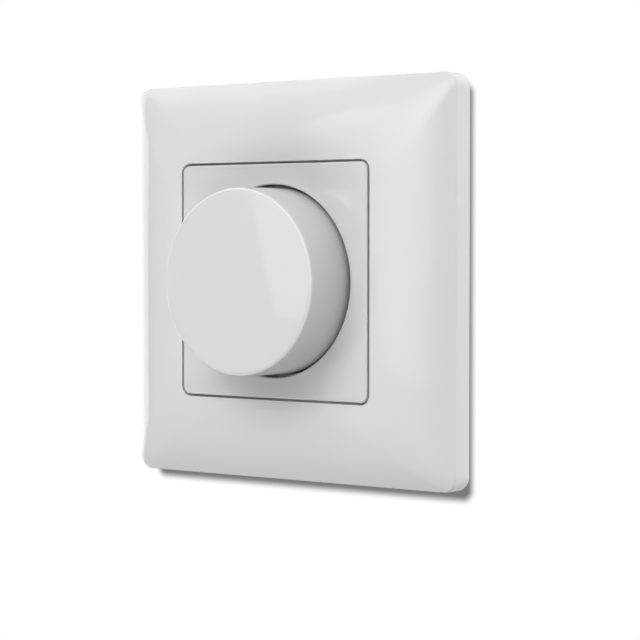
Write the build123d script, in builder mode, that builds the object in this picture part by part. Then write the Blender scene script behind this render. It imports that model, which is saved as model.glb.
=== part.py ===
from build123d import *
from math import asin, cos, hypot, radians, sin, sqrt
import os

os.makedirs("parts", exist_ok=True)

# All sizes are in millimetres. The wall is the plane y = 0, the front looks along -Y and Z is up.
# A "depth" is a distance from the wall into the room.

# Frame
frame_size = 86.0
frame_corner_r = 3.0
frame_side_depth = 4.8
frame_land = 2.0
frame_edge_r = 0.5
frame_wall = 1.8
corner_spread = 0.5
flank_steps = 8
hollow_steps = 3
collar_wall = 1.5
ledge_thick = 1.6
frame_rib_thick = 1.2
frame_rib_spacing = 28.0

# Centre plate with the knob's cup and the turret over the encoder
plate_border = 5.0
plate_gap = 0.5
plate_thick = 2.2
plate_proud = 0.2
plate_corner_r = 1.8
plate_edge_r = 0.4
cup_wall = 1.4
cup_floor = 1.0
cup_margin = 1.0
cup_edge = 0.25
turret_wall = 1.2
turret_top = 1.4
turret_edge = 0.5

# Knob
knob_d = 40.0
knob_gap = 0.6
knob_sink = 2.0
knob_proud = 12.0
knob_draft = 0.3
knob_edge_r = 0.8
knob_wall = 2.1
hub_wall = 2.0
knob_rib_count = 6
knob_rib_thick = 1.0
knob_rib_height = 2.4
clip_thick = 0.4
clip_width = 3.6

# Clearances: round running parts, in loose fits, in close fits, at contacts, in bearings, in tight holes
seat_gap = 0.3
loose_gap = 0.2
close_gap = 0.1
touch_gap = 0.05
turn_gap = 0.04
fit_gap = 0.02

# Bracket on the wall
pad_thick = 0.8
pad_length = 64.0
pad_width = 11.0
pad_corner_r = 1.0
bracket_thick = 2.0
bracket_gap = 0.4
opening_gap = 0.6
slot_land = 2.4
slot_width = 4.2
slot_length = 8.0
hook_width = 6.0
hook_thick = 1.2
hook_barb = 0.9
hook_height = 2.4
hook_pitch = 24.0
barb_height = 1.1
barb_tip = 0.2

# Rear housing
housing_wall = 1.4
housing_floor = 1.2
housing_corner_r = 2.0
housing_inner_r = 0.8
post_r = 2.6
post_inset = 3.8
well_wall = 1.2
groove_wall = 1.3
core_wall = 1.0
core_floor = 0.8

# Battery and its cover
cell_d = 24.5
cell_thick = 3.0
cell_cap_d = 22.0
cell_cap_height = 0.4
cell_edge = 0.3
cell_air = 0.25
cover_offset = 0.5
cover_thick = 1.0
cover_turn = 45.0
lug_count = 3
lug_angle = 30.0
lug_play_angle = 5.0
lug_reach = 1.4
lug_thick = 0.7
coin_slot_length = 18.0
coin_slot_width = 2.0
coin_slot_depth = 0.55

# Battery contacts
contact_gap = 1.0
contact_thick = 0.25
leaf_width = 3.0
leaf_foot = 2.2
leaf_slope = 3.6
leaf_pad = 1.2
leaf_lip = 1.0
leaf_lip_rise = 0.3
leaf_skew = 0.2
strip_width = 4.0
strip_foot = 3.0
strip_relief = 1.2

# Circuit board, the parts on its back and the screws
board_thick = 1.0
board_corner_r = 1.0
board_air = 0.4
chip_size = 3.2
chip_height = 0.9
crystal_length = 3.2
crystal_width = 2.5
crystal_height = 0.8
crystal_corner_r = 0.4
capacitor_length = 3.4
capacitor_width = 2.6
capacitor_height = 1.9
capacitor_edge = 0.2
screw_r = 0.95
screw_head_r = 1.8
screw_head_height = 1.2
screw_skin = 0.9
cross_length = 2.2
cross_width = 0.5
cross_depth = 0.7

# Rotary encoder with push switch
encoder_length = 12.0
encoder_height = 5.5
encoder_wall = 0.6
encoder_cover_thick = 0.6
encoder_air = 0.6
strap_thick = 0.5
strap_width = 5.0
strap_tail_width = 2.0
bushing_wall = 0.5
bushing_length = 4.1
bushing_edge = 0.25
shaft_r = 3.0
shaft_flat = 1.5
shaft_edge = 0.4
flange_rim = 0.6
flange_thick = 0.6
tail_r = 2.0
tail_flat = 1.5
rotor_rim = 0.8
rotor_thick = 0.9
rotor_skirt = 0.7
rotor_skirt_inset = 0.9
detent_count = 20
detent_width = 0.4
detent_depth = 0.2
wiper_thick = 0.15
wiper_width = 0.7
finger_count = 3
finger_angle = 12.0
finger_inset = 0.1
spring_thick = 0.2
spring_air = 0.15
press_travel = 0.5
dome_r = 2.9
dome_top_r = 1.0
dome_foot = 0.5
dome_thick = 0.15
dome_seat_height = 0.4
nut_wall = 1.5
nut_thick = 2.0
washer_rim = 2.3
washer_thick = 0.5
pin_pitch = 2.5
pin_reach = 0.75
pin_width = 0.8
pin_thick = 0.3
pin_rise = 0.9
pin_stub = 0.5
pin_hole_r = 0.55

# Stack from the wall to the knob
bracket_front = pad_thick + bracket_thick
cover_front = cover_offset + cover_thick
floor_front = cover_offset + housing_floor
cell_back = cover_front + close_gap
cell_front = cell_back + cell_thick
board_back = cell_front + contact_gap
board_front = board_back + board_thick
encoder_front = board_front + encoder_height
turret_front = encoder_front + turret_top
washer_front = turret_front + washer_thick
bushing_front = encoder_front + bushing_length
cup_back = board_front + encoder_air
cup_front = cup_back + cup_floor
knob_back = cup_front + seat_gap + press_travel
plate_front = knob_back + knob_sink
plate_back = plate_front - plate_thick
frame_front = plate_front - plate_proud
ledge_back = plate_back - ledge_thick
knob_front = plate_front + knob_proud
knob_ceiling = knob_front - knob_wall
hub_back = bushing_front + press_travel + seat_gap
shaft_front = knob_ceiling - press_travel

# Plan sizes of the knob, the plate and the frame
knob_r = knob_d / 2
knob_front_r = knob_r - knob_draft
cup_r = knob_r + knob_gap
cup_outer_r = cup_r + cup_wall
plate_half = knob_r + plate_border
aperture_half = plate_half + plate_gap
aperture_r = plate_corner_r + plate_gap
collar_half = aperture_half + collar_wall
frame_half = frame_size / 2
land_half = aperture_half + frame_land
flank_drop = frame_front - frame_side_depth
flank_width = frame_half - land_half
flank_r = (flank_width**2 + flank_drop**2) / (2 * flank_drop)

# Plan sizes of the module and the bracket
module_half = cup_outer_r + cup_margin
housing_inner = module_half - housing_wall
board_half = housing_inner - seat_gap
ledge_half = module_half + seat_gap
post_at = module_half - post_inset
bracket_half = frame_half - frame_wall - bracket_gap
bracket_opening = module_half + opening_gap
slot_at = bracket_opening + slot_land + slot_length / 2
pad_at = (bracket_opening + bracket_half) / 2
pocket_back = bracket_front + hook_height - barb_height - loose_gap

# Battery well, its bayonet and the free spots beside it
cell_r = cell_d / 2
well_r = cell_r + cell_air
cover_r = well_r + well_wall
cover_hole_r = cover_r + seat_gap
lug_r = cover_r + lug_reach
groove_r = lug_r + seat_gap
well_outer_r = groove_r + groove_wall
lug_inner_r = well_r + close_gap
lug_back = floor_front + close_gap
lug_front = lug_back + lug_thick
groove_front = lug_front + loose_gap
well_front = board_back - board_air
part_spot = (well_outer_r + post_at * sqrt(2) - post_r) / 2 / sqrt(2)

# Encoder, from the shaft outwards and from the cover down to the switch
bushing_r = shaft_r + bushing_wall
flange_r = shaft_r + flange_rim
rotor_bore_r = flange_r + seat_gap
rotor_r = rotor_bore_r + rotor_rim
encoder_width = 2 * (rotor_r + loose_gap + encoder_wall)
strap_at = (encoder_width + strap_thick) / 2
turret_bore_r = hypot(encoder_length, encoder_width + 2 * strap_thick) / 2 + encoder_air
turret_r = turret_bore_r + turret_wall
hub_r = shaft_r + hub_wall
cover_under = encoder_front - encoder_cover_thick
flange_front = cover_under - touch_gap
flange_back = flange_front - flange_thick
spring_back = cover_under - touch_gap - spring_thick
rim_front = spring_back - spring_air
rotor_front = flange_back - press_travel - spring_air
rotor_back = rotor_front - rotor_thick
track_depth = rotor_back - rotor_skirt
dome_seat = board_front + dome_seat_height
dome_front = dome_seat + press_travel + touch_gap
pin_row = encoder_length / 2 + pin_reach
contact_pins = [(x, -pin_row) for x in (-pin_pitch, 0, pin_pitch)]
switch_pins = [(x, pin_row) for x in (-pin_pitch, pin_pitch)]
pin_spots = contact_pins + switch_pins


def facing(depth):
    """Plane parallel to the wall at this depth, facing the room: local x is X, local y is Z."""
    return Plane.XZ.offset(depth)


# Half section through the turning axis: local x is the radius, local y the depth
half_section = Plane(origin=(0, 0, 0), x_dir=(1, 0, 0), z_dir=(0, 0, -1))


def turned(points):
    """Solid of revolution about the turning axis from (radius, depth) corners."""
    with BuildPart(mode=Mode.PRIVATE) as ring:
        with BuildSketch(half_section):
            Polygon(*points, align=None)
        revolve(axis=Axis.Y)
    return ring.part


def sector(inner_r, outer_r, centre, width):
    """Flat piece of a ring between two radii, width degrees wide about the angle centre."""
    far = 2 * outer_r
    angles = [radians(centre - width / 2), radians(centre + width / 2)]
    ends = [(far * cos(angle), far * sin(angle)) for angle in angles]
    with BuildSketch(mode=Mode.PRIVATE) as piece:
        Circle(outer_r)
        Circle(inner_r, mode=Mode.SUBTRACT)
        Polygon((0, 0), *ends, align=None, mode=Mode.INTERSECT)
    return piece.sketch


def pillow_sections(inset, steps):
    """Half widths, corner radii and depths of the flank, inset below the skin, from its edge to the land."""
    radius = flank_r - inset
    edge_half = frame_half - inset
    start_angle = asin((edge_half - land_half) / radius)
    for step in range(steps + 1):
        angle = start_angle * (1 - step / steps)
        half = land_half + radius * sin(angle)
        corner = frame_corner_r - inset + corner_spread * (edge_half - half)
        yield half, corner, frame_front - flank_r + radius * cos(angle)


# Hollow behind the frame's skin, less the collar round the opening and the stiffening ribs
hollow_half = frame_half - frame_wall
hollow_sections = list(pillow_sections(frame_wall, hollow_steps))
hollow_edge_depth = hollow_sections[0][2]
with BuildPart() as frame_hollow:
    with BuildSketch(facing(0)):
        RectangleRounded(2 * hollow_half, 2 * hollow_half, frame_corner_r - frame_wall)
    extrude(amount=hollow_edge_depth)
    for half, corner, depth in hollow_sections:
        with BuildSketch(facing(depth)):
            RectangleRounded(2 * half, 2 * half, corner)
    loft()
    with BuildSketch(facing(ledge_back)):
        RectangleRounded(2 * collar_half, 2 * collar_half, aperture_r + collar_wall)
    extrude(amount=frame_front - ledge_back, mode=Mode.SUBTRACT)
    with BuildSketch(facing(bracket_front + bracket_gap)):
        for offset in (-frame_rib_spacing / 2, frame_rib_spacing / 2):
            for side in (-1, 1):
                rib_at = side * (collar_half + frame_half) / 2
                with Locations((rib_at, offset)):
                    Rectangle(frame_half - collar_half, frame_rib_thick)
                with Locations((offset, rib_at)):
                    Rectangle(frame_rib_thick, frame_half - collar_half)
    extrude(amount=frame_front, mode=Mode.SUBTRACT)

# Frame: pillow-shaped square with soft diagonal ridges and a ledge behind the centre plate
with BuildPart() as frame:
    with BuildSketch(facing(0)):
        RectangleRounded(frame_size, frame_size, frame_corner_r)
    extrude(amount=frame_side_depth)
    for half, corner, depth in pillow_sections(0, flank_steps):
        with BuildSketch(facing(depth)):
            RectangleRounded(2 * half, 2 * half, corner)
    loft()
    rim = frame.edges().filter_by(lambda edge: abs(edge.center().Y + frame_side_depth) < fit_gap)
    fillet(rim, radius=frame_edge_r)
    add(frame_hollow.part, mode=Mode.SUBTRACT)
    with BuildSketch(facing(plate_back)):
        RectangleRounded(2 * aperture_half, 2 * aperture_half, aperture_r)
    extrude(amount=plate_thick, mode=Mode.SUBTRACT)
    with BuildSketch(facing(0)):
        RectangleRounded(2 * ledge_half, 2 * ledge_half, housing_corner_r + seat_gap)
    extrude(amount=plate_front, mode=Mode.SUBTRACT)
frame.part.label = "frame"
export_step(frame.part, "parts/frame.step")

# Centre plate with its skirt, the round cup for the knob and the turret over the encoder
with BuildPart() as centre_plate:
    with BuildSketch(facing(plate_back)):
        RectangleRounded(2 * plate_half, 2 * plate_half, plate_corner_r)
    extrude(amount=plate_thick)
    fillet(centre_plate.faces().sort_by(Axis.Y)[0].edges(), radius=plate_edge_r)
    with BuildSketch(facing(board_front)):
        RectangleRounded(2 * module_half, 2 * module_half, housing_corner_r)
        RectangleRounded(2 * housing_inner, 2 * housing_inner, housing_inner_r, mode=Mode.SUBTRACT)
        with GridLocations(2 * post_at, 2 * post_at, 2, 2):
            Circle(post_r)
    extrude(amount=plate_back - board_front)
    with BuildSketch(facing(cup_back)):
        Circle(cup_outer_r)
    extrude(amount=plate_back - cup_back)
    with BuildSketch(facing(cup_front)):
        Circle(cup_r)
    extrude(amount=plate_front - cup_front, mode=Mode.SUBTRACT)
    with BuildSketch(facing(cup_back)):
        Circle(turret_r)
    extrude(amount=turret_front - cup_back)
    with BuildSketch(facing(cup_back)):
        Circle(turret_bore_r)
    extrude(amount=encoder_front - cup_back, mode=Mode.SUBTRACT)
    with BuildSketch(facing(encoder_front)):
        Circle(bushing_r + loose_gap)
    extrude(amount=turret_top, mode=Mode.SUBTRACT)
    with BuildSketch(facing(board_front)):
        with GridLocations(2 * post_at, 2 * post_at, 2, 2):
            Circle(screw_r + fit_gap)
    extrude(amount=plate_front - board_front - screw_skin, mode=Mode.SUBTRACT)
    rings = centre_plate.edges().filter_by(GeomType.CIRCLE)
    mouth = rings.filter_by(lambda edge: abs(edge.radius - cup_r) < fit_gap).sort_by(Axis.Y)[0]
    crown = rings.filter_by(lambda edge: abs(edge.radius - turret_r) < fit_gap).sort_by(Axis.Y)[0]
    chamfer(mouth, length=cup_edge)
    chamfer(crown, length=turret_edge)
centre_plate.part.label = "centre_plate"
export_step(centre_plate.part, "parts/centre_plate.step")

# Rear housing: tray with screw posts, a battery well with a bayonet groove and pockets for the hooks
with BuildPart() as rear_housing:
    with BuildSketch(facing(cover_offset)):
        RectangleRounded(2 * module_half, 2 * module_half, housing_corner_r)
    extrude(amount=board_front - cover_offset)
    with BuildSketch(facing(floor_front)):
        RectangleRounded(2 * housing_inner, 2 * housing_inner, housing_inner_r)
    extrude(amount=board_front - floor_front, mode=Mode.SUBTRACT)
    with BuildSketch(facing(floor_front)):
        with GridLocations(2 * post_at, 2 * post_at, 2, 2):
            Circle(post_r)
    extrude(amount=board_back - floor_front)
    with BuildSketch(facing(floor_front)):
        Circle(well_outer_r)
    extrude(amount=well_front - floor_front)
    with BuildSketch(facing(cover_offset)):
        Circle(cover_hole_r)
    extrude(amount=floor_front - cover_offset, mode=Mode.SUBTRACT)
    notch = sector(well_r, groove_r, -cover_turn, lug_angle + lug_play_angle)
    with BuildSketch(facing(cover_offset)):
        with PolarLocations(0, lug_count):
            add(notch)
    extrude(amount=floor_front - cover_offset, mode=Mode.SUBTRACT)
    with BuildSketch(facing(floor_front)):
        Circle(groove_r)
    extrude(amount=groove_front - floor_front, mode=Mode.SUBTRACT)
    with BuildSketch(facing(groove_front)):
        Circle(well_r)
        with Locations((well_r, 0)):
            Rectangle(2 * strip_relief, strip_width + 2 * seat_gap)
    extrude(amount=well_front - groove_front, mode=Mode.SUBTRACT)
    with BuildSketch(facing(groove_front + core_floor)):
        Circle(well_outer_r - core_wall)
        Circle(well_r + core_wall, mode=Mode.SUBTRACT)
    extrude(amount=well_front - groove_front - core_floor, mode=Mode.SUBTRACT)
    with BuildSketch(facing(cover_offset)):
        with GridLocations(2 * post_at, 2 * post_at, 2, 2):
            Circle(screw_head_r + loose_gap)
    extrude(amount=screw_head_height + loose_gap, mode=Mode.SUBTRACT)
    with BuildSketch(facing(cover_offset)):
        with GridLocations(2 * post_at, 2 * post_at, 2, 2):
            Circle(screw_r + loose_gap)
    extrude(amount=board_back - cover_offset, mode=Mode.SUBTRACT)
    with BuildSketch(facing(pocket_back)):
        with GridLocations(2 * module_half, hook_pitch, 2, 2):
            Rectangle(2 * (hook_barb - seat_gap), hook_width + 2 * loose_gap)
    extrude(amount=barb_height + 2 * loose_gap, mode=Mode.SUBTRACT)
rear_housing.part.label = "rear_housing"
export_step(rear_housing.part, "parts/rear_housing.step")

# Battery cover: disc with a coin slot and three lugs that turn behind the housing's floor
with BuildPart() as battery_cover:
    with BuildSketch(facing(cover_offset)):
        Circle(cover_r)
    extrude(amount=cover_thick)
    neck = sector(lug_inner_r, cover_r, 0, lug_angle)
    with BuildSketch(facing(cover_front)):
        with PolarLocations(0, lug_count):
            add(neck)
    extrude(amount=lug_front - cover_front)
    lug = sector(lug_inner_r, lug_r, 0, lug_angle)
    with BuildSketch(facing(lug_back)):
        with PolarLocations(0, lug_count):
            add(lug)
    extrude(amount=lug_thick)
    with BuildSketch(facing(cover_offset)):
        SlotOverall(coin_slot_length, coin_slot_width)
    extrude(amount=coin_slot_depth, mode=Mode.SUBTRACT)
battery_cover.part.label = "battery_cover"
export_step(battery_cover.part, "parts/battery_cover.step")

# Mounting plate: bracket with two screw slots and four snap hooks
hook_front = bracket_front + hook_height
barb_back = hook_front - barb_height
tip_back = barb_back + seat_gap
with BuildPart() as mounting_plate:
    with BuildSketch(facing(pad_thick)):
        RectangleRounded(2 * bracket_half, 2 * bracket_half, frame_corner_r - frame_wall)
        RectangleRounded(
            2 * bracket_opening, 2 * bracket_opening, housing_corner_r + opening_gap, mode=Mode.SUBTRACT
        )
        with Locations((-slot_at, 0), (slot_at, 0)):
            SlotOverall(slot_length, slot_width, mode=Mode.SUBTRACT)
    extrude(amount=bracket_thick)
    with BuildSketch(facing(bracket_front)):
        with GridLocations(2 * bracket_opening + hook_thick, hook_pitch, 2, 2):
            Rectangle(hook_thick, hook_width)
    extrude(amount=hook_height)
    for low in (-(hook_pitch + hook_width) / 2, (hook_pitch - hook_width) / 2):
        with BuildSketch(Plane.XY.offset(low)):
            for side in (-1, 1):
                tip = side * (bracket_opening - hook_barb)
                root = side * (bracket_opening + close_gap)
                Polygon(
                    (root, -barb_back),
                    (tip, -tip_back),
                    (tip, -tip_back - barb_tip),
                    (root, -hook_front),
                    align=None,
                )
        extrude(amount=hook_width)
mounting_plate.part.label = "mounting_plate"
export_step(mounting_plate.part, "parts/mounting_plate.step")

# Adhesive foam pads between the bracket and the wall
with BuildPart() as adhesive_pads:
    with BuildSketch(facing(0)):
        with GridLocations(0, 2 * pad_at, 1, 2):
            RectangleRounded(pad_length, pad_width, pad_corner_r)
    extrude(amount=pad_thick)
adhesive_pads.part.label = "adhesive_pads"
export_step(adhesive_pads.part, "parts/adhesive_pads.step")

# Circuit board with holes for the screws, the encoder's pins and its two strap tails
with BuildPart() as circuit_board:
    with BuildSketch(facing(board_back)):
        RectangleRounded(2 * board_half, 2 * board_half, board_corner_r)
        with GridLocations(2 * post_at, 2 * post_at, 2, 2):
            Circle(screw_r + loose_gap, mode=Mode.SUBTRACT)
        with Locations(*pin_spots):
            Circle(pin_hole_r, mode=Mode.SUBTRACT)
        with GridLocations(2 * strap_at, 0, 2, 1):
            Rectangle(strap_thick + 2 * loose_gap, strap_tail_width + 2 * loose_gap, mode=Mode.SUBTRACT)
    extrude(amount=board_thick)
circuit_board.part.label = "circuit_board"
export_step(circuit_board.part, "parts/circuit_board.step")

# Self-tapping screws that join housing, board and centre plate
head_back = cover_offset + loose_gap
head_front = head_back + screw_head_height
screw_front = plate_front - screw_skin - seat_gap
with BuildPart() as housing_screws:
    with BuildSketch(facing(head_back)):
        with GridLocations(2 * post_at, 2 * post_at, 2, 2):
            Circle(screw_head_r)
    extrude(amount=screw_head_height)
    with BuildSketch(facing(head_front)):
        with GridLocations(2 * post_at, 2 * post_at, 2, 2):
            Circle(screw_r)
    extrude(amount=screw_front - head_front)
    with BuildSketch(facing(head_back)):
        with GridLocations(2 * post_at, 2 * post_at, 2, 2):
            Rectangle(cross_length, cross_width)
            Rectangle(cross_width, cross_length)
    extrude(amount=cross_depth, mode=Mode.SUBTRACT)
housing_screws.part.label = "housing_screws"
export_step(housing_screws.part, "parts/housing_screws.step")

# Coin cell: can towards the cover, cap towards the board
with BuildPart() as coin_cell:
    with BuildSketch(facing(cell_back)):
        Circle(cell_r)
    extrude(amount=cell_thick - cell_cap_height)
    chamfer(coin_cell.edges().filter_by(GeomType.CIRCLE), length=cell_edge)
    with BuildSketch(facing(cell_front - cell_cap_height)):
        Circle(cell_cap_d / 2)
    extrude(amount=cell_cap_height)
coin_cell.part.label = "coin_cell"
export_step(coin_cell.part, "parts/coin_cell.step")

# Spring leaf from the board to the cell's cap
foot_start = -(leaf_foot + leaf_slope + leaf_pad + leaf_lip) / 2
foot_end = foot_start + leaf_foot
pad_start = foot_end + leaf_slope
pad_end = pad_start + leaf_pad
lip_end = pad_end + leaf_lip
leaf_top = cell_front + contact_thick
leaf_outline = [
    (foot_start, board_back),
    (foot_end, board_back),
    (pad_start, leaf_top),
    (pad_end, leaf_top),
    (lip_end, leaf_top + leaf_lip_rise),
    (lip_end, cell_front + leaf_lip_rise),
    (pad_end, cell_front),
    (pad_start - leaf_skew, cell_front),
    (foot_end - leaf_skew, board_back - contact_thick),
    (foot_start, board_back - contact_thick),
]
with BuildPart() as negative_contact:
    with BuildSketch(Plane.XY.offset(-leaf_width / 2)):
        Polygon(*[(x, -depth) for x, depth in leaf_outline], align=None)
    extrude(amount=leaf_width)
negative_contact.part.label = "negative_contact"
export_step(negative_contact.part, "parts/negative_contact.step")

# Upright strip that bears on the cell's rim
strip_x = cell_r + touch_gap
strip_back = groove_front + seat_gap
strip_outline = [
    (strip_x, board_back),
    (strip_x + strip_foot, board_back),
    (strip_x + strip_foot, board_back - contact_thick),
    (strip_x + contact_thick, board_back - contact_thick),
    (strip_x + contact_thick, strip_back),
    (strip_x, strip_back),
]
with BuildPart() as positive_contact:
    with BuildSketch(Plane.XY.offset(-strip_width / 2)):
        Polygon(*[(x, -depth) for x, depth in strip_outline], align=None)
    extrude(amount=strip_width)
positive_contact.part.label = "positive_contact"
export_step(positive_contact.part, "parts/positive_contact.step")

# Radio chip, crystal and supply capacitor in three corners of the board's back
with BuildPart() as radio_chip:
    with BuildSketch(facing(board_back - chip_height)):
        with Locations((part_spot, part_spot)):
            Rectangle(chip_size, chip_size)
    extrude(amount=chip_height)
radio_chip.part.label = "radio_chip"
export_step(radio_chip.part, "parts/radio_chip.step")

with BuildPart() as crystal:
    with BuildSketch(facing(board_back - crystal_height)):
        with Locations((-part_spot, part_spot)):
            RectangleRounded(crystal_length, crystal_width, crystal_corner_r)
    extrude(amount=crystal_height)
crystal.part.label = "crystal"
export_step(crystal.part, "parts/crystal.step")

with BuildPart() as supply_capacitor:
    with BuildSketch(facing(board_back - capacitor_height)):
        with Locations((part_spot, -part_spot)):
            Rectangle(capacitor_length, capacitor_width)
    extrude(amount=capacitor_height)
    chamfer(supply_capacitor.edges().group_by(Axis.Y)[-1], length=capacitor_edge)
supply_capacitor.part.label = "supply_capacitor"
export_step(supply_capacitor.part, "parts/supply_capacitor.step")

# Encoder: base with the rotor's cavity and the pocket of the push switch
with BuildPart() as encoder_base:
    with BuildSketch(facing(board_front)):
        Rectangle(encoder_width, encoder_length)
    extrude(amount=cover_under - board_front)
    with BuildSketch(facing(track_depth)):
        Circle(rotor_r + loose_gap)
    extrude(amount=encoder_front - track_depth, mode=Mode.SUBTRACT)
    with BuildSketch(facing(dome_seat)):
        Circle(dome_r + close_gap)
    extrude(amount=track_depth - dome_seat, mode=Mode.SUBTRACT)
encoder_base.part.label = "encoder_base"
export_step(encoder_base.part, "parts/encoder_base.step")

# Metal cover with the bushing and two straps whose tails pass the board
with BuildPart() as encoder_cover:
    with BuildSketch(facing(cover_under)):
        Rectangle(encoder_width + 2 * strap_thick, encoder_length)
    extrude(amount=encoder_cover_thick)
    with BuildSketch(facing(board_front)):
        with GridLocations(2 * strap_at, 0, 2, 1):
            Rectangle(strap_thick, strap_width)
    extrude(amount=cover_under - board_front)
    with BuildSketch(facing(board_back - pin_stub)):
        with GridLocations(2 * strap_at, 0, 2, 1):
            Rectangle(strap_thick, strap_tail_width)
    extrude(amount=board_thick + pin_stub)
    with BuildSketch(facing(encoder_front)):
        Circle(bushing_r)
    extrude(amount=bushing_length)
    chamfer(encoder_cover.faces().sort_by(Axis.Y)[0].edges(), length=bushing_edge)
    with BuildSketch(facing(cover_under)):
        Circle(shaft_r + turn_gap)
    extrude(amount=bushing_front - cover_under, mode=Mode.SUBTRACT)
encoder_cover.part.label = "encoder_cover"
export_step(encoder_cover.part, "parts/encoder_cover.step")

# Washer and hexagon nut that clamp the bushing to the turret
with BuildPart() as encoder_washer:
    with BuildSketch(facing(turret_front)):
        Circle(bushing_r + washer_rim)
        Circle(bushing_r + close_gap, mode=Mode.SUBTRACT)
    extrude(amount=washer_thick)
encoder_washer.part.label = "encoder_washer"
export_step(encoder_washer.part, "parts/encoder_washer.step")

with BuildPart() as encoder_nut:
    with BuildSketch(facing(washer_front)):
        RegularPolygon(bushing_r + nut_wall, 6, major_radius=False)
        Circle(bushing_r + fit_gap, mode=Mode.SUBTRACT)
    extrude(amount=nut_thick)
encoder_nut.part.label = "encoder_nut"
export_step(encoder_nut.part, "parts/encoder_nut.step")

# Five bent pins from the base's sides through the board
pin_front = board_front + pin_rise
pin_back = board_back - pin_stub
arm_back = pin_front - pin_thick
with BuildPart() as encoder_terminals:
    for x, z in pin_spots:
        side = 1 if z > 0 else -1
        root = side * encoder_length / 2
        outer = z + side * pin_thick / 2
        inner = z - side * pin_thick / 2
        with BuildSketch(Plane.YZ.offset(x - pin_width / 2)):
            Polygon(
                (-arm_back, inner),
                (-arm_back, root),
                (-pin_front, root),
                (-pin_front, outer),
                (-pin_back, outer),
                (-pin_back, inner),
                align=None,
            )
        extrude(amount=pin_width)
encoder_terminals.part.label = "encoder_terminals"
export_step(encoder_terminals.part, "parts/encoder_terminals.step")

# Rotor: cup with a detent rim, driven by the shaft's flattened tail
skirt_back = track_depth + touch_gap
with BuildPart() as encoder_rotor:
    with BuildSketch(facing(rotor_back)):
        Circle(rotor_r)
    extrude(amount=rim_front - rotor_back)
    with BuildSketch(facing(rotor_front)):
        Circle(rotor_bore_r)
    extrude(amount=rim_front - rotor_front, mode=Mode.SUBTRACT)
    with BuildSketch(facing(skirt_back)):
        Circle(rotor_r - rotor_skirt_inset)
        Circle(dome_r + seat_gap, mode=Mode.SUBTRACT)
    extrude(amount=rotor_back - skirt_back)
    with BuildSketch(facing(rotor_back)):
        Circle(tail_r + turn_gap)
        Rectangle(3 * tail_r, 2 * (tail_flat + turn_gap), mode=Mode.INTERSECT)
    extrude(amount=rotor_front - rotor_back, mode=Mode.SUBTRACT)
    with BuildSketch(facing(rim_front - detent_depth)):
        with PolarLocations(rotor_r, detent_count):
            Rectangle(3 * rotor_rim, detent_width)
    extrude(amount=detent_depth, mode=Mode.SUBTRACT)
encoder_rotor.part.label = "encoder_rotor"
export_step(encoder_rotor.part, "parts/encoder_rotor.step")

# Wiper: thin ring under the rotor with fingers on the tracks
wiper_r = rotor_r - finger_inset
wiper_back = rotor_back - wiper_thick
with BuildPart() as wiper_contact:
    with BuildSketch(facing(wiper_back)):
        Circle(wiper_r)
        Circle(wiper_r - wiper_width, mode=Mode.SUBTRACT)
    extrude(amount=wiper_thick)
    finger = sector(wiper_r - wiper_width + finger_inset, wiper_r - finger_inset, 0, finger_angle)
    with BuildSketch(facing(skirt_back)):
        with PolarLocations(0, finger_count):
            add(finger)
    extrude(amount=wiper_back - skirt_back)
wiper_contact.part.label = "wiper_contact"
export_step(wiper_contact.part, "parts/wiper_contact.step")

# Click spring: flat ring between the cover and the rotor's detents
with BuildPart() as click_spring:
    with BuildSketch(facing(spring_back)):
        Circle(rotor_r + close_gap)
        Circle(flange_r + loose_gap, mode=Mode.SUBTRACT)
    extrude(amount=spring_thick)
click_spring.part.label = "click_spring"
export_step(click_spring.part, "parts/click_spring.step")

# Snap dome of the push switch
with BuildPart() as switch_dome:
    add(
        turned(
            [
                (0, dome_front),
                (dome_top_r, dome_front),
                (dome_r, dome_seat),
                (dome_r - dome_foot, dome_seat),
                (dome_top_r, dome_front - dome_thick),
                (0, dome_front - dome_thick),
            ]
        )
    )
switch_dome.part.label = "switch_dome"
export_step(switch_dome.part, "parts/switch_dome.step")

# Shaft: journal with a flat for the knob, a retaining flange and a two-flat tail
with BuildPart() as encoder_shaft:
    with BuildSketch(facing(flange_front)):
        Circle(shaft_r)
    extrude(amount=shaft_front - flange_front)
    chamfer(encoder_shaft.faces().sort_by(Axis.Y)[0].edges(), length=shaft_edge)
    with BuildSketch(facing(bushing_front + seat_gap)):
        with Locations((0, shaft_flat + shaft_r)):
            Rectangle(3 * shaft_r, 2 * shaft_r)
    extrude(amount=shaft_front - bushing_front, mode=Mode.SUBTRACT)
    with BuildSketch(facing(flange_back)):
        Circle(flange_r)
    extrude(amount=flange_thick)
    with BuildSketch(facing(dome_front)):
        Circle(tail_r)
        Rectangle(3 * tail_r, 2 * tail_flat, mode=Mode.INTERSECT)
    extrude(amount=flange_back - dome_front)
encoder_shaft.part.label = "encoder_shaft"
export_step(encoder_shaft.part, "parts/encoder_shaft.step")

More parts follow.
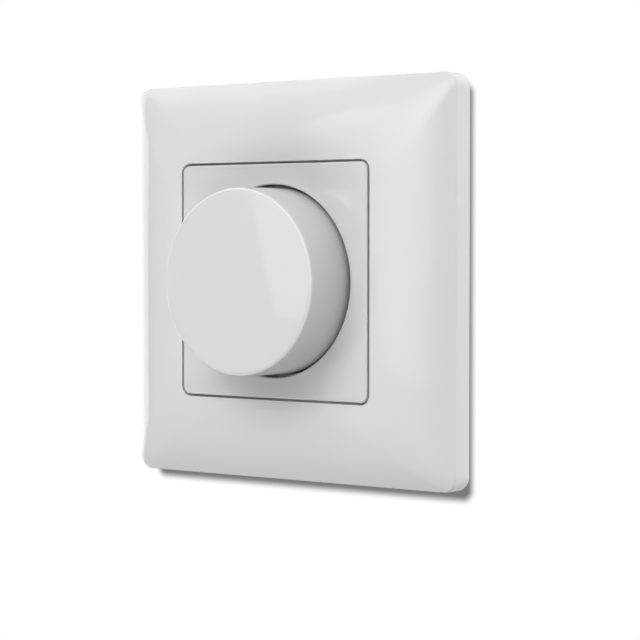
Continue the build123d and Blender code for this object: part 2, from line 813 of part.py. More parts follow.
# Knob: drafted cap with a hub on the shaft's flat and stiffening ribs
clip_slot = clip_thick + close_gap
ceiling_r = knob_front_r - knob_wall
with BuildPart() as knob:
    add(
        turned(
            [
                (0, knob_front),
                (knob_front_r, knob_front),
                (knob_r, knob_back),
                (knob_r - knob_wall, knob_back),
                (ceiling_r, knob_ceiling),
                (0, knob_ceiling),
            ]
        )
    )
    fillet(knob.edges().group_by(Axis.Y)[0], radius=knob_edge_r)
    with BuildSketch(facing(hub_back)):
        Circle(hub_r)
    extrude(amount=knob_ceiling - hub_back)
    with BuildSketch(facing(knob_ceiling - knob_rib_height)):
        with PolarLocations((hub_r + ceiling_r) / 2, knob_rib_count, start_angle=30):
            Rectangle(ceiling_r - hub_r + knob_rib_thick, knob_rib_thick)
    extrude(amount=knob_rib_height)
    with BuildSketch(facing(hub_back)):
        Circle(shaft_r + fit_gap)
        with Locations((0, shaft_flat + touch_gap + shaft_r)):
            Rectangle(3 * shaft_r, 2 * shaft_r, mode=Mode.SUBTRACT)
        with Locations((0, shaft_flat + clip_slot / 2)):
            Rectangle(clip_width + 2 * loose_gap, clip_slot)
    extrude(amount=shaft_front + seat_gap - hub_back, mode=Mode.SUBTRACT)
knob.part.label = "knob"
export_step(knob.part, "parts/knob.step")

# Spring clip between the hub and the shaft's flat
with BuildPart() as knob_clip:
    with BuildSketch(facing(hub_back + seat_gap)):
        with Locations((0, shaft_flat + touch_gap + clip_thick / 2)):
            Rectangle(clip_width, clip_thick)
    extrude(amount=shaft_front - hub_back - 2 * seat_gap)
knob_clip.part.label = "knob_clip"
export_step(knob_clip.part, "parts/knob_clip.step")
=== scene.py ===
from math import cos, radians, sin, tau

import bmesh
import bpy
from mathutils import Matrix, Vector


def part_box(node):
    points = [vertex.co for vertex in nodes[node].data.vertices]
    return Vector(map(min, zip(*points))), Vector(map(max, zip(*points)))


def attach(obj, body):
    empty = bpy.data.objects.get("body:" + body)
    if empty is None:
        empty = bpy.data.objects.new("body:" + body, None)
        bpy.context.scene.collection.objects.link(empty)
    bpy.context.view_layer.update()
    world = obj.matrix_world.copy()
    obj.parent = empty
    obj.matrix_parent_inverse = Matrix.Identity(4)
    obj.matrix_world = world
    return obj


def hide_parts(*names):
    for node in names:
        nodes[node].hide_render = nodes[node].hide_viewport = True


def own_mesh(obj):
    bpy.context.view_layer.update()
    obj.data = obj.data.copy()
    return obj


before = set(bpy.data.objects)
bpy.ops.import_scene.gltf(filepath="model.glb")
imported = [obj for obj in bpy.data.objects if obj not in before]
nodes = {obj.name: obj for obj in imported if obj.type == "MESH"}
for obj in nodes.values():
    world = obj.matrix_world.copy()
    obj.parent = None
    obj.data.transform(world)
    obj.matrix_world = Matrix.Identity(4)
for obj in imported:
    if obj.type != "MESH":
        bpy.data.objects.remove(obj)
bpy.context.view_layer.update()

scene = bpy.context.scene
mm = 0.001

# Camera fitted to the photograph's edges: place in metres, angles in degrees, lens and sensor in millimetres
camera_place = (0.28585, -0.36989, 0.00821)
camera_yaw = 37.259
camera_pitch = -2.058
camera_lens = 121.1
camera_sensor = 36.0

# Lamps: place and edge lengths in metres, power in watts
lamps = {
    "key": ((0, -0.7, 0.7), (0.6, 0.6), 5.1),
    "key_left": ((-0.55, -0.7, 0.55), (0.5, 0.5), 0.95),
    "front_key": ((0, -0.9, 0.4), (0.8, 0.5), 3.05),
    "low_left": ((-0.8, -0.7, -0.7), (0.8, 0.5), 1.95),
    "low_middle": ((0, -0.7, -0.7), (0.8, 0.5), 4.4),
    "low_right": ((0.8, -0.7, -0.7), (0.8, 0.5), 0.6),
    "right_top": ((0.8, -0.2, 0.6), (0.8, 0.8), 1.85),
    "rear_rim": ((0.78, 0.45, 0.43), (0.8, 0.8), 4.35),
    "rear_low": ((0.85, 0.45, -0.2), (0.8, 0.8), 3.3),
    "rear_top": ((0, 0.4, 0.9), (1.2, 0.6), 2.65),
    "rear_right": ((0.6, 0.7, 0.3), (0.6, 0.6), 4.0),
    "rear_left": ((-0.6, 0.7, 0.5), (0.8, 0.8), 3.0),
}

# Softboxes that show only in the gloss, in metres. Each lies square to an axis, at a place on it, and its
# outline and hot spot go by the other two axes. Reach is how far from the hot spot the light starts and ends
# its change, and light is what it is there, where 1 is white.
softboxes = {
    "front_box": dict(
        axis="Y",
        place=-0.6,
        outline=[
            (-0.385, -0.055),
            (0.302, -0.062),
            (0.301, -0.012),
            (0.334, 0.03),
            (0.383, 0.058),
            (0.445, 0.073),
            (0.46, 0.3),
            (0.48, 1.1),
            (-0.755, 1.1),
            (-0.461, 0.216),
        ],
        hot_spot=(0.05, 0.27),
        reach=(0.1, 0.5),
        light=(4.0, 1.55),
    ),
    "corner_box": dict(
        axis="Y",
        place=-0.595,
        outline=[(-0.461, 0.216), (-0.33, 0.35), (-0.25, 1.1), (-0.755, 1.1)],
        hot_spot=(-0.55, 0.6),
        reach=(0.1, 0.4),
        light=(2.6, 1.6),
    ),
    "face_box": dict(
        axis="Y",
        place=-0.605,
        outline=[(-0.545, -0.07), (-0.41, -0.07), (-0.41, 0.037), (-0.545, 0.037)],
        hot_spot=(-0.48, -0.02),
        reach=(0.0, 0.1),
        light=(1.45, 1.45),
    ),
    "strip_box": dict(
        axis="Y",
        place=-0.6,
        outline=[(-0.448, -0.0325), (-0.414, -0.0335), (-0.414, 0.037), (-0.4656, 0.037)],
        hot_spot=(-0.43, 0.03),
        reach=(0.0, 0.06),
        light=(2.75, 2.65),
    ),
    "left_box": dict(
        axis="X",
        place=-0.6,
        outline=[
            (0.6, -0.3),
            (0.02, -0.3),
            (0.02, 0),
            (-0.15, 0.447),
            (-0.24, 0.651),
            (-0.278, 0.704),
            (-0.284, 0.773),
            (-0.258, 0.835),
            (-0.19, 0.877),
            (0.6, 1.05),
        ],
        hot_spot=(-0.1, 0.75),
        reach=(0.2, 0.7),
        light=(2.45, 1.75),
    ),
    "top_box": dict(
        axis="Z",
        place=0.95,
        outline=[(-1.6, -1.6), (0.4, -1.6), (0.4, 0), (-1.6, 0)],
        hot_spot=(0, 0),
        reach=(0.95, 1.55),
        light=(1.78, 1.0),
    ),
    "right_box": dict(
        axis="Y",
        place=-0.62,
        outline=[(-0.45, -0.45), (0.9, -0.45), (0.9, 0.6), (-0.45, 0.6)],
        hot_spot=(0.42, -0.12),
        reach=(0.35, 0.9),
        light=(1.65, 1.0),
    ),
    "low_box": dict(
        axis="Z",
        place=-0.7,
        outline=[(-1.2, -1.2), (0.6, -1.2), (0.6, 0), (-1.2, 0)],
        hot_spot=(0, 0),
        reach=(0.68, 1.1),
        light=(1.45, 1.0),
    ),
}

# Wall behind the object and floor below it, in metres; the contact shadow falls to the right and below
stage_half = 1.5
wall_gap = 0.2 * mm
floor_level = -0.25
floor_tone = 0.93
floor_dark_share = 0.99
floor_mottle_per_metre = 30.0
outline_half = 43 * mm
outline_corner = 2.5 * mm
shadow_shift = (0.72 * mm, 0, -2.12 * mm)
shadow_soft = 1.15 * mm
shadow_tones = (0.2, 1.0)

# Light that reaches the object from the empty room, and the white that the camera and the gloss see
room_light = 0.02
room_white = 1.0

# Colours, linear
frame_tone = 0.655
plate_tone = 0.61
knob_tone = 0.625
housing_white = (0.62, 0.62, 0.605)
bracket_white = (0.64, 0.64, 0.625)
foam_pale = (0.66, 0.66, 0.63)
# foam_pit is painted shade: the darker grey of the foam's pits
foam_pit = (0.42, 0.42, 0.4)
mask_green = (0.012, 0.1, 0.035)
trace_green = (0.03, 0.19, 0.07)
epoxy_black = (0.018, 0.018, 0.02)
ceramic_tan = (0.4, 0.27, 0.16)
encoder_black = (0.028, 0.028, 0.032)
acetal_white = (0.68, 0.67, 0.62)
zinc_plate = (0.6, 0.61, 0.63)
nickel_plate = (0.64, 0.62, 0.58)
cast_zinc = (0.5, 0.51, 0.53)
spring_bronze = (0.68, 0.46, 0.24)
tin_plate = (0.7, 0.7, 0.69)
blued_steel = (0.16, 0.17, 0.2)

# Polished plastic: cloud depth as a share of the colour, mottle and peel as features to a metre
plastic_ior = 1.5
polish_cloud_depth = 0.015
polish_mottle = 500.0
polish_rough_shares = (0.85, 1.15)
polish_peel = 350.0
polish_peel_height = 0.0003 * mm

# Eroded plastic: mottle as features to a metre, and a finer grain by the main grain's count and height
moulded_cloud_depth = 0.04
moulded_mottle = 2500.0
moulded_rough_step = 0.06
fine_grain_times = 3
fine_height_share = 0.4

# Foam: cells, mottle and waves as features to a metre, heights in metres
foam_cells = 2200.0
foam_pit_ends = (0.05, 0.4)
foam_pit_depth = 0.05 * mm
foam_mottle = 900.0
foam_rough = (0.8, 0.95)
foam_waves = 260.0
foam_wave_height = 0.03 * mm

# Metals: depth of their clouds as a share of the colour, then the size and stretch of their working lines
metal_cloud_depth = 0.1
metal_clouds_per_metre = 220.0
metal_rough_shares = (0.75, 1.3)
rolled_lines_per_metre = 6000.0
rolled_lines_stretch = (1, 1, 0.03)
cast_grain_per_metre = 4000.0
rings_per_metre = 9000.0

# Circuit board: tracks, mottle and grain as features to a metre, heights in metres
board_tracks = 420.0
board_track_ends = (0.1, 0.14)
board_track_height = 0.03 * mm
board_mottle = 1800.0
board_rough = (0.28, 0.4)
board_grain = 5000.0
board_grain_height = 0.003 * mm

# Capacitor: where its end caps start and are full, as shares of its half length, and its grain
cap_ends = (0.6, 0.63)
capacitor_mottle = 5000.0
capacitor_rough = (0.3, 0.5)
capacitor_grain = 4000.0
capacitor_grain_height = 0.006 * mm

# Painted shade in the knob's cup, as a darker tone: radius and soft edge of its mouth, depths where it
# starts and is full, share
cup_mouth_r = 20.9 * mm
cup_mouth_soft = 0.05 * mm
cup_dark_start = -10.75 * mm
cup_dark_full = -9.9 * mm
cup_shade_share = 0.3

# Painted highlight on the knob's front edge, as a lighter tone: radii where it starts and is full, depths
# where it is full and ends
rim_start_r = 19.2 * mm
rim_full_r = 19.38 * mm
rim_full = -22.85 * mm
rim_end = -22.55 * mm
rim_highlight_share = 1.27

# Snap dome of the push switch, in millimetres and degrees
dome_top_r = 1.0
dome_foot = 0.5
dome_thick = 0.15
dome_steps = 64
dome_sharp = 15.0
dome_merge = 0.001

# Marks moulded on the back, in millimetres and degrees; angles run from +X to +Z
cover_face = -0.5
bracket_face = -0.8
mark_height = 0.2
mark_edge = 0.05
mark_edge_steps = 2
mark_edge_round = 0.5
dot_r = 0.7
closed_angle = 90.0
open_angle = 45.0
cover_dot_at = 12.0
housing_dot_at = 17.6
arrow_r = 10.2
arrow_width = 0.8
arrow_head = 2.4
arrow_start = 82.0
arrow_end = 58.0
arrow_tip = 46.0
plus_at = -6.4
plus_length = 4.0
plus_width = 0.9
up_at = 25.5
up_width = 3.2
up_height = 2.4
witness_r = 2.0
witness_width = 0.18
witness_height = 0.04
witness_steps = 40
witness_places = [(x, z) for x in (-34, 34) for z in (-21, 21)]


def add_node(tree, kind, **settings):
    """New node of this kind, with its own settings by name."""
    node = tree.nodes.new(kind)
    for key, value in settings.items():
        setattr(node, key, value)
    return node


def set_inputs(node, **values):
    """Sets input sockets by name, with _ for a blank."""
    for key, value in values.items():
        node.inputs[key.replace("_", " ")].default_value = value
    return node


def new_material(name):
    """New node material: the material, its tree and its main shader."""
    material = bpy.data.materials.new(name)
    material.use_nodes = True
    return material, material.node_tree, material.node_tree.nodes["Principled BSDF"]


def piece_place(tree, stretch=(1, 1, 1)):
    """Place on a piece in metres, stretched along each axis."""
    place = add_node(tree, "ShaderNodeTexCoord")
    scaled = set_inputs(add_node(tree, "ShaderNodeMapping"), Scale=stretch)
    tree.links.new(place.outputs["Object"], scaled.inputs["Vector"])
    return scaled.outputs["Vector"]


def noise(tree, per_metre, detail=2.0, stretch=(1, 1, 1)):
    """Noise with this many features to a metre."""
    texture = set_inputs(add_node(tree, "ShaderNodeTexNoise"), Scale=per_metre, Detail=detail)
    tree.links.new(piece_place(tree, stretch), texture.inputs["Vector"])
    return texture.outputs["Fac"]


def cells(tree, per_metre, **settings):
    """Distance into random cells, with this many cells to a metre."""
    texture = set_inputs(add_node(tree, "ShaderNodeTexVoronoi", **settings), Scale=per_metre)
    tree.links.new(piece_place(tree), texture.inputs["Vector"])
    return texture.outputs["Distance"]


def combine(tree, operation, first, second):
    """One value from two."""
    node = add_node(tree, "ShaderNodeMath", operation=operation)
    tree.links.new(first, node.inputs[0])
    tree.links.new(second, node.inputs[1])
    return node.outputs["Value"]


def axis_distance(tree):
    """Distance from the knob's axis in metres."""
    radius = add_node(tree, "ShaderNodeVectorMath", operation="LENGTH")
    tree.links.new(piece_place(tree, (1, 0, 1)), radius.inputs[0])
    return radius.outputs["Value"]


def along(tree, axis):
    """Place along X, Y or Z in metres."""
    split = add_node(tree, "ShaderNodeSeparateXYZ")
    tree.links.new(piece_place(tree), split.inputs["Vector"])
    return split.outputs[axis]


def turned_rings(tree, per_metre):
    """Random fine rings round the knob's axis, as turning leaves them on a face or a side."""
    texture = set_inputs(add_node(tree, "ShaderNodeTexNoise", noise_dimensions="1D"), Scale=per_metre)
    tree.links.new(combine(tree, "ADD", axis_distance(tree), along(tree, "Y")), texture.inputs["W"])
    return texture.outputs["Fac"]


def spread(tree, source, low, high, start=0.3, end=0.7):
    """Maps a value from start and end to low and high."""
    ramp = add_node(tree, "ShaderNodeMapRange")
    set_inputs(ramp, From_Min=start, From_Max=end, To_Min=low, To_Max=high)
    tree.links.new(source, ramp.inputs["Value"])
    return ramp.outputs["Result"]


def between(tree, source, first, last):
    """Colour from first to last, by a value from 0 to 1."""
    ramp = add_node(tree, "ShaderNodeValToRGB")
    ramp.color_ramp.elements[0].color = (*first, 1)
    ramp.color_ramp.elements[1].color = (*last, 1)
    tree.links.new(source, ramp.inputs["Fac"])
    return ramp.outputs["Color"]


def bump(tree, shader, *layers):
    """Bump on a shader from pairs of a height map and its height in metres."""
    before = None
    for source, height in layers:
        node = set_inputs(add_node(tree, "ShaderNodeBump"), Distance=height)
        tree.links.new(source, node.inputs["Height"])
        if before:
            tree.links.new(before.outputs["Normal"], node.inputs["Normal"])
        before = node
    tree.links.new(before.outputs["Normal"], shader.inputs["Normal"])


def clouded(tree, shader, colour, depth, per_metre=60.0):
    """Base colour with faint clouds that are darker by this share."""
    dark = [channel * (1 - depth) for channel in colour]
    clouds = spread(tree, noise(tree, per_metre, detail=3.0), 0, 1)
    tree.links.new(between(tree, clouds, dark, colour), shader.inputs["Base Color"])


def polished_plastic(name, tone, roughness):
    """High-gloss white moulding: near even, with the slightest orange peel."""
    material, tree, shader = new_material(name)
    clouded(tree, shader, (tone, tone, tone), polish_cloud_depth)
    smooth, dull = polish_rough_shares
    gloss = spread(tree, noise(tree, polish_mottle), smooth * roughness, dull * roughness)
    tree.links.new(gloss, shader.inputs["Roughness"])
    bump(tree, shader, (noise(tree, polish_peel), polish_peel_height))
    shader.inputs["IOR"].default_value = plastic_ior
    return material


def toned(material, radius, depth, share):
    """Scales the base colour by a share, as two ramps, over radius and over depth, both come to 1."""
    tree = material.node_tree
    colour = tree.nodes["Principled BSDF"].inputs["Base Color"]
    by_radius = spread(tree, axis_distance(tree), *radius)
    by_depth = spread(tree, along(tree, "Y"), *depth)
    scale = spread(tree, combine(tree, "MULTIPLY", by_radius, by_depth), 1, share, 0, 1)
    scaled = add_node(tree, "ShaderNodeVectorMath", operation="SCALE")
    tree.links.new(colour.links[0].from_socket, scaled.inputs[0])
    tree.links.new(scale, scaled.inputs["Scale"])
    tree.links.new(scaled.outputs["Vector"], colour)
    return material


def painted_cup_shade(material):
    """Painted shade: darkens a finish down in the knob's cup, to the photograph's level."""
    inside = (1, 0, cup_mouth_r, cup_mouth_r + cup_mouth_soft)
    return toned(material, inside, (0, 1, cup_dark_start, cup_dark_full), cup_shade_share)


def painted_rim_highlight(material):
    """Painted highlight: lightens a finish on the knob's front edge, to the photograph's level."""
    return toned(material, (0, 1, rim_start_r, rim_full_r), (1, 0, rim_full, rim_end), rim_highlight_share)


def eroded_plastic(name, colour, roughness, grain, height):
    """Moulding from a spark-eroded tool: a fine even grain that dulls the gloss."""
    material, tree, shader = new_material(name)
    clouded(tree, shader, colour, moulded_cloud_depth)
    pits = cells(tree, grain, feature="SMOOTH_F1")
    mottle = noise(tree, moulded_mottle, detail=4.0)
    gloss = spread(tree, mottle, roughness - moulded_rough_step, roughness + moulded_rough_step)
    tree.links.new(gloss, shader.inputs["Roughness"])
    fine = noise(tree, fine_grain_times * grain, detail=3.0)
    bump(tree, shader, (pits, height), (fine, fine_height_share * height))
    shader.inputs["IOR"].default_value = plastic_ior
    return material


def foam_tape(name):
    """Closed-cell foam: pale skin with open pits, the pits painted darker as shade in them."""
    material, tree, shader = new_material(name)
    pits = cells(tree, foam_cells)
    colour = between(tree, spread(tree, pits, 0, 1, *foam_pit_ends), foam_pit, foam_pale)
    tree.links.new(colour, shader.inputs["Base Color"])
    tree.links.new(spread(tree, noise(tree, foam_mottle), *foam_rough), shader.inputs["Roughness"])
    bump(tree, shader, (pits, foam_pit_depth), (noise(tree, foam_waves), foam_wave_height))
    return material


def plated_metal(name, colour, roughness, lines, height):
    """Metal with its working lines: a function of the tree gives their height map."""
    material, tree, shader = new_material(name)
    clouded(tree, shader, colour, metal_cloud_depth, metal_clouds_per_metre)
    marks = lines(tree)
    bright, dull = metal_rough_shares
    tree.links.new(spread(tree, marks, bright * roughness, dull * roughness), shader.inputs["Roughness"])
    bump(tree, shader, (marks, height))
    shader.inputs["Metallic"].default_value = 1.0
    return material


def rolled_lines(tree):
    """Fine straight lines from the rolling mill."""
    return noise(tree, rolled_lines_per_metre, detail=3.0, stretch=rolled_lines_stretch)


def cast_grain(tree):
    """Even grain of a die casting or a plated surface."""
    return noise(tree, cast_grain_per_metre, detail=4.0)


def fine_rings(tree):
    """Rings of a turned or spun face."""
    return turned_rings(tree, rings_per_metre)


def board_finish(name):
    """Solder mask over copper tracks that run straight or at 45 degrees."""
    material, tree, shader = new_material(name)
    near = cells(tree, board_tracks, distance="CHEBYCHEV", feature="F1")
    far = cells(tree, board_tracks, distance="CHEBYCHEV", feature="F2")
    track = spread(tree, combine(tree, "SUBTRACT", far, near), 1, 0, *board_track_ends)
    tree.links.new(between(tree, track, mask_green, trace_green), shader.inputs["Base Color"])
    tree.links.new(spread(tree, noise(tree, board_mottle), *board_rough), shader.inputs["Roughness"])
    bump(tree, shader, (track, board_track_height), (noise(tree, board_grain), board_grain_height))
    return material


def capacitor_finish(name, box):
    """Ceramic body with a tin cap at each end of its longer side."""
    material, tree, shader = new_material(name)
    low, high = box
    axis = "X" if high[0] - low[0] > high[2] - low[2] else "Z"
    index = "XYZ".index(axis)
    middle = (low[index] + high[index]) / 2
    half = (high[index] - low[index]) / 2
    offset = add_node(tree, "ShaderNodeMath", operation="SUBTRACT")
    tree.links.new(along(tree, axis), offset.inputs[0])
    offset.inputs[1].default_value = middle
    away = add_node(tree, "ShaderNodeMath", operation="ABSOLUTE")
    tree.links.new(offset.outputs["Value"], away.inputs[0])
    cap_start, cap_full = cap_ends
    cap = spread(tree, away.outputs["Value"], 0, 1, cap_start * half, cap_full * half)
    tree.links.new(between(tree, cap, ceramic_tan, tin_plate), shader.inputs["Base Color"])
    tree.links.new(cap, shader.inputs["Metallic"])
    mottle = noise(tree, capacitor_mottle, detail=3.0)
    tree.links.new(spread(tree, mottle, *capacitor_rough), shader.inputs["Roughness"])
    bump(tree, shader, (noise(tree, capacitor_grain, detail=3.0), capacitor_grain_height))
    return material


def dot(place, r, steps=28):
    """Outline of a round dot."""
    x, z = place
    return [(x + r * cos(tau * i / steps), z + r * sin(tau * i / steps)) for i in range(steps)]


def on_circle(r, angle):
    """Place at this radius and angle round the knob's axis."""
    return r * cos(radians(angle)), r * sin(radians(angle))


def arc(r, start, end, steps=12):
    """Places along an arc round the knob's axis."""
    return [on_circle(r, start + (end - start) * i / steps) for i in range(steps + 1)]


def turn_arrow():
    """Outline of a curved arrow that points the way the cover opens."""
    head = [on_circle(arrow_r + arrow_head / 2, arrow_end), on_circle(arrow_r, arrow_tip)]
    head.append(on_circle(arrow_r - arrow_head / 2, arrow_end))
    outer = arc(arrow_r + arrow_width / 2, arrow_start, arrow_end)
    inner = arc(arrow_r - arrow_width / 2, arrow_end, arrow_start)
    return outer + head + inner


def plus_sign():
    """Outline of a plus sign, the cell's pole."""
    arm, side = plus_length / 2, plus_width / 2
    quarter = [(side, side), (side, arm), (-side, arm)]
    outline = []
    for _ in range(4):
        outline += quarter
        quarter = [(-z, x) for x, z in quarter]
    return [(x, z + plus_at) for x, z in dict.fromkeys(outline)]


def up_mark():
    """Outline of a triangle that points up."""
    half = up_width / 2
    return [(-half, up_at - up_height / 2), (half, up_at - up_height / 2), (0, up_at + up_height / 2)]


def add_piece(name, shape, body, finish):
    """Makes a piece of a shape, riding on a body."""
    bmesh.ops.recalc_face_normals(shape, faces=shape.faces)
    mesh = bpy.data.meshes.new(name)
    shape.to_mesh(mesh)
    shape.free()
    mesh.materials.append(finish)
    piece = bpy.data.objects.new(name, mesh)
    scene.collection.objects.link(piece)
    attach(piece, body)
    return piece


def raised_marks(name, face, outlines, body, finish):
    """Marks that stand on a back face, each with a bevelled edge; outlines in millimetres."""
    shape = bmesh.new()
    bevel = dict(offset=mark_edge * mm, segments=mark_edge_steps, profile=mark_edge_round)
    for outline in outlines:
        ring = [shape.verts.new((x * mm, face * mm, z * mm)) for x, z in outline]
        top = shape.faces.new(ring)
        raised = bmesh.ops.extrude_face_region(shape, geom=[top])["geom"]
        moved = [item for item in raised if isinstance(item, bmesh.types.BMVert)]
        bmesh.ops.translate(shape, vec=(0, mark_height * mm, 0), verts=moved)
        lid = next(item for item in raised if isinstance(item, bmesh.types.BMFace))
        bmesh.ops.bevel(shape, geom=list(lid.edges), affect="EDGES", **bevel)
    add_piece(name, shape, body, finish)


def witness_rings(name, face, places, body, finish):
    """Thin raised rings that ejector pins leave on a moulding; places in millimetres."""
    shape = bmesh.new()
    foot, top = witness_width / 2, witness_width / 4
    profile = [(-foot, 0), (-top, witness_height), (top, witness_height), (foot, 0)]
    for x, z in places:
        loops = []
        for i in range(witness_steps):
            turn = tau * i / witness_steps
            loop = []
            for out, height in profile:
                r = witness_r + out
                point = ((x + r * cos(turn)) * mm, (face + height) * mm, (z + r * sin(turn)) * mm)
                loop.append(shape.verts.new(point))
            loops.append(loop)
        for i in range(witness_steps):
            this, following = loops[i], loops[(i + 1) % witness_steps]
            for k in range(len(profile)):
                after = (k + 1) % len(profile)
                shape.faces.new((this[k], this[after], following[after], following[k]))
    add_piece(name, shape, body, finish)


def snap_dome(name, finish):
    """Snap dome of the switch, in place of its solid."""
    low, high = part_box("switch_dome")
    front, seat, r = low[1], high[1], high[0]
    top_r = dome_top_r * mm
    inner_front = front + dome_thick * mm
    outside = [(0, front), (top_r, front), (r, seat)]
    inside = [(r - dome_foot * mm, seat), (top_r, inner_front), (0, inner_front)]
    shape = bmesh.new()
    points = [shape.verts.new((x, y, 0)) for x, y in outside + inside]
    edges = [shape.edges.new(pair) for pair in zip(points, points[1:])]
    bmesh.ops.spin(shape, geom=points + edges, cent=(0, 0, 0), axis=(0, 1, 0), angle=tau, steps=dome_steps)
    bmesh.ops.remove_doubles(shape, verts=shape.verts, dist=dome_merge * mm)
    for face in shape.faces:
        face.smooth = True
    dome = add_piece(name, shape, "base", finish)
    dome.data.set_sharp_from_angle(angle=radians(dome_sharp))
    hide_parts("switch_dome")
    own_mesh(dome)


def in_plane(axis, place, points):
    """Points in a plane square to an axis, at a place along it, from their other two coordinates."""
    index = "XYZ".index(axis)
    return [(*point[:index], place, *point[index:]) for point in points]


def stage_face(name, corners):
    """One flat face that lights and shades nothing by itself."""
    mesh = bpy.data.meshes.new(name)
    mesh.from_pydata(corners, [], [tuple(range(len(corners)))])
    face = bpy.data.objects.new(name, mesh)
    scene.collection.objects.link(face)
    face.visible_shadow = False
    face.visible_diffuse = False
    face.visible_transmission = False
    return face


def glow_material(name):
    """Material that only gives light: the material, its tree and its emission."""
    material, tree, shader = new_material(name)
    tree.nodes.remove(shader)
    glow = add_node(tree, "ShaderNodeEmission")
    tree.links.new(glow.outputs["Emission"], tree.nodes["Material Output"].inputs["Surface"])
    return material, tree, glow


def softbox(name, axis, place, outline, hot_spot, reach, light):
    """Light panel seen only in the gloss, with its light changing away from a hot spot."""
    panel = stage_face(name, in_plane(axis, place, outline))
    panel.visible_camera = False
    material, tree, glow = glow_material(name)
    away = add_node(tree, "ShaderNodeVectorMath", operation="DISTANCE")
    tree.links.new(piece_place(tree), away.inputs[0])
    away.inputs[1].default_value = in_plane(axis, place, [hot_spot])[0]
    tree.links.new(spread(tree, away.outputs["Value"], *light, *reach), glow.inputs["Strength"])
    panel.data.materials.append(material)


def contact_shadow(tree):
    """Tone of the wall: dark inside the frame's outline moved by the shadow's shift, soft at its edge."""
    inner = outline_half - outline_corner
    steps = (("SUBTRACT", shadow_shift), ("ABSOLUTE", None), ("SUBTRACT", (inner, 0, inner)))
    steps += (("MAXIMUM", (0, 0, 0)), ("MULTIPLY", (1, 0, 1)))
    source = piece_place(tree)
    for operation, value in steps:
        step = add_node(tree, "ShaderNodeVectorMath", operation=operation)
        tree.links.new(source, step.inputs[0])
        if value:
            step.inputs[1].default_value = value
        source = step.outputs["Vector"]
    away = add_node(tree, "ShaderNodeVectorMath", operation="LENGTH")
    tree.links.new(source, away.inputs[0])
    tone = add_node(tree, "ShaderNodeMapRange", interpolation_type="SMOOTHSTEP")
    set_inputs(tone, From_Min=outline_corner - shadow_soft, From_Max=outline_corner + shadow_soft)
    set_inputs(tone, To_Min=shadow_tones[0], To_Max=shadow_tones[1])
    tree.links.new(away.outputs["Value"], tone.inputs["Value"])
    return tone.outputs["Result"]


def white_wall():
    """Wall in white, with the frame's contact shadow; clear from behind."""
    half = stage_half
    corners = [(-half, -half), (half, -half), (half, half), (-half, half)]
    wall = stage_face("wall", in_plane("Y", wall_gap, corners))
    wall.visible_glossy = False
    material, tree, glow = glow_material("wall_paint")
    tree.links.new(contact_shadow(tree), glow.inputs["Strength"])
    clear = add_node(tree, "ShaderNodeBsdfTransparent")
    side = add_node(tree, "ShaderNodeNewGeometry")
    one_sided = add_node(tree, "ShaderNodeMixShader")
    tree.links.new(side.outputs["Backfacing"], one_sided.inputs["Fac"])
    tree.links.new(glow.outputs["Emission"], one_sided.inputs[1])
    tree.links.new(clear.outputs["BSDF"], one_sided.inputs[2])
    tree.links.new(one_sided.outputs["Shader"], tree.nodes["Material Output"].inputs["Surface"])
    wall.data.materials.append(material)


def pale_floor():
    """Plain pale floor, below the photograph's view."""
    half = stage_half
    corners = [(-half, -2 * half), (half, -2 * half), (half, 0), (-half, 0)]
    floor = stage_face("floor", in_plane("Z", floor_level, corners))
    floor.visible_glossy = False
    material, tree, glow = glow_material("floor_paint")
    mottle = noise(tree, floor_mottle_per_metre, detail=4.0)
    tone = spread(tree, mottle, floor_dark_share * floor_tone, floor_tone)
    tree.links.new(tone, glow.inputs["Strength"])
    floor.data.materials.append(material)


def studio_world():
    """White to the camera, in the gloss and through glass; dim to the rest."""
    world = bpy.data.worlds.new("studio")
    scene.world = world
    world.use_nodes = True
    tree = world.node_tree
    tree.nodes.clear()
    output = add_node(tree, "ShaderNodeOutputWorld")
    dim = set_inputs(add_node(tree, "ShaderNodeBackground"), Strength=room_light)
    white = set_inputs(add_node(tree, "ShaderNodeBackground"), Strength=room_white)
    path = add_node(tree, "ShaderNodeLightPath")
    mirrored = combine(tree, "MAXIMUM", path.outputs["Is Glossy Ray"], path.outputs["Is Transmission Ray"])
    seen = combine(tree, "MAXIMUM", path.outputs["Is Camera Ray"], mirrored)
    mix = add_node(tree, "ShaderNodeMixShader")
    tree.links.new(seen, mix.inputs["Fac"])
    tree.links.new(dim.outputs["Background"], mix.inputs[1])
    tree.links.new(white.outputs["Background"], mix.inputs[2])
    tree.links.new(mix.outputs["Shader"], output.inputs["Surface"])


def studio_lamp(name, place, size, power):
    """Soft lamp that looks at the object and stays out of the gloss."""
    light = bpy.data.lights.new(name, "AREA")
    light.shape = "RECTANGLE"
    light.size, light.size_y = size
    light.energy = power
    lamp = bpy.data.objects.new(name, light)
    lamp.location = place
    lamp.rotation_euler = (-Vector(place)).to_track_quat("-Z", "Y").to_euler()
    lamp.visible_camera = False
    lamp.visible_glossy = False
    scene.collection.objects.link(lamp)


def photo_camera():
    """Camera at the photograph's place."""
    data = bpy.data.cameras.new("camera")
    data.lens = camera_lens
    data.sensor_width = camera_sensor
    camera = bpy.data.objects.new("camera", data)
    camera.location = camera_place
    camera.rotation_euler = (radians(90 + camera_pitch), 0, radians(camera_yaw))
    scene.collection.objects.link(camera)
    scene.camera = camera


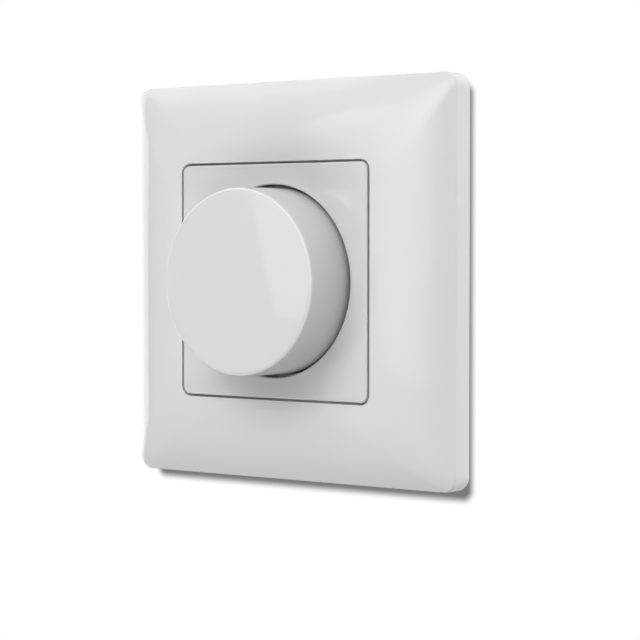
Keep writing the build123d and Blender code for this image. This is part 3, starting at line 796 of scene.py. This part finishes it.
# Finishes of the nodes: colour, roughness, grain to a metre or working lines, and their height
housing = eroded_plastic("housing_white", housing_white, 0.48, 4500.0, 0.012 * mm)
bracket = eroded_plastic("bracket_white", bracket_white, 0.52, 3200.0, 0.016 * mm)
zinc = plated_metal("zinc_plate", zinc_plate, 0.3, cast_grain, 0.004 * mm)
nickel_rolled = plated_metal("nickel_plate", nickel_plate, 0.24, rolled_lines, 0.002 * mm)
steel_turned = plated_metal("turned_steel", zinc_plate, 0.26, fine_rings, 0.003 * mm)
bronze = plated_metal("spring_bronze", spring_bronze, 0.27, rolled_lines, 0.002 * mm)
finishes = {
    "frame": polished_plastic("frame_white", frame_tone, 0.02),
    # The plate's finish gets painted shade down in the knob's cup
    "centre_plate": painted_cup_shade(polished_plastic("plate_white", plate_tone, 0.03)),
    # The knob's finish gets a painted highlight on its front edge
    "knob": painted_rim_highlight(polished_plastic("knob_white", knob_tone, 0.02)),
    "rear_housing": housing,
    "battery_cover": housing,
    "mounting_plate": bracket,
    "adhesive_pads": foam_tape("foam_tape"),
    "circuit_board": board_finish("board_green"),
    "housing_screws": zinc,
    "coin_cell": plated_metal("cell_steel", nickel_plate, 0.25, fine_rings, 0.003 * mm),
    "negative_contact": nickel_rolled,
    "positive_contact": nickel_rolled,
    "radio_chip": eroded_plastic("chip_black", epoxy_black, 0.5, 9000.0, 0.006 * mm),
    "crystal": plated_metal("crystal_can", tin_plate, 0.2, cast_grain, 0.003 * mm),
    "supply_capacitor": capacitor_finish("capacitor_tan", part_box("supply_capacitor")),
    "encoder_base": eroded_plastic("encoder_black", encoder_black, 0.42, 6000.0, 0.008 * mm),
    "encoder_cover": plated_metal("cover_zinc", cast_zinc, 0.34, cast_grain, 0.005 * mm),
    "encoder_washer": steel_turned,
    "encoder_nut": steel_turned,
    "encoder_terminals": plated_metal("tin_plate", tin_plate, 0.3, rolled_lines, 0.002 * mm),
    "encoder_rotor": eroded_plastic("rotor_white", acetal_white, 0.38, 5000.0, 0.005 * mm),
    "wiper_contact": bronze,
    "click_spring": bronze,
    "switch_dome": plated_metal("dome_steel", nickel_plate, 0.2, fine_rings, 0.001 * mm),
    "encoder_shaft": plated_metal("shaft_zinc", cast_zinc, 0.3, fine_rings, 0.004 * mm),
    "knob_clip": plated_metal("clip_steel", blued_steel, 0.32, rolled_lines, 0.003 * mm),
}
for name, node in nodes.items():
    node.data.materials.clear()
    node.data.materials.append(finishes[name])

snap_dome("snap_dome", finishes["switch_dome"])

# Marks on the back
cover_marks = [dot(on_circle(cover_dot_at, closed_angle), dot_r), turn_arrow(), plus_sign()]
raised_marks("battery_cover_marks", cover_face, cover_marks, "battery_cover", housing)
housing_marks = [dot(on_circle(housing_dot_at, angle), dot_r) for angle in (closed_angle, open_angle)]
raised_marks("housing_marks", cover_face, housing_marks, "base", housing)
raised_marks("bracket_up_mark", bracket_face, [up_mark()], "base", bracket)
witness_rings("bracket_pin_marks", bracket_face, witness_places, "base", bracket)

# Stage and light
white_wall()
pale_floor()
for name, panel in softboxes.items():
    softbox(name, **panel)
studio_world()
for name, (place, size, power) in lamps.items():
    studio_lamp(name, place, size, power)
photo_camera()
scene.view_settings.view_transform = "Standard"
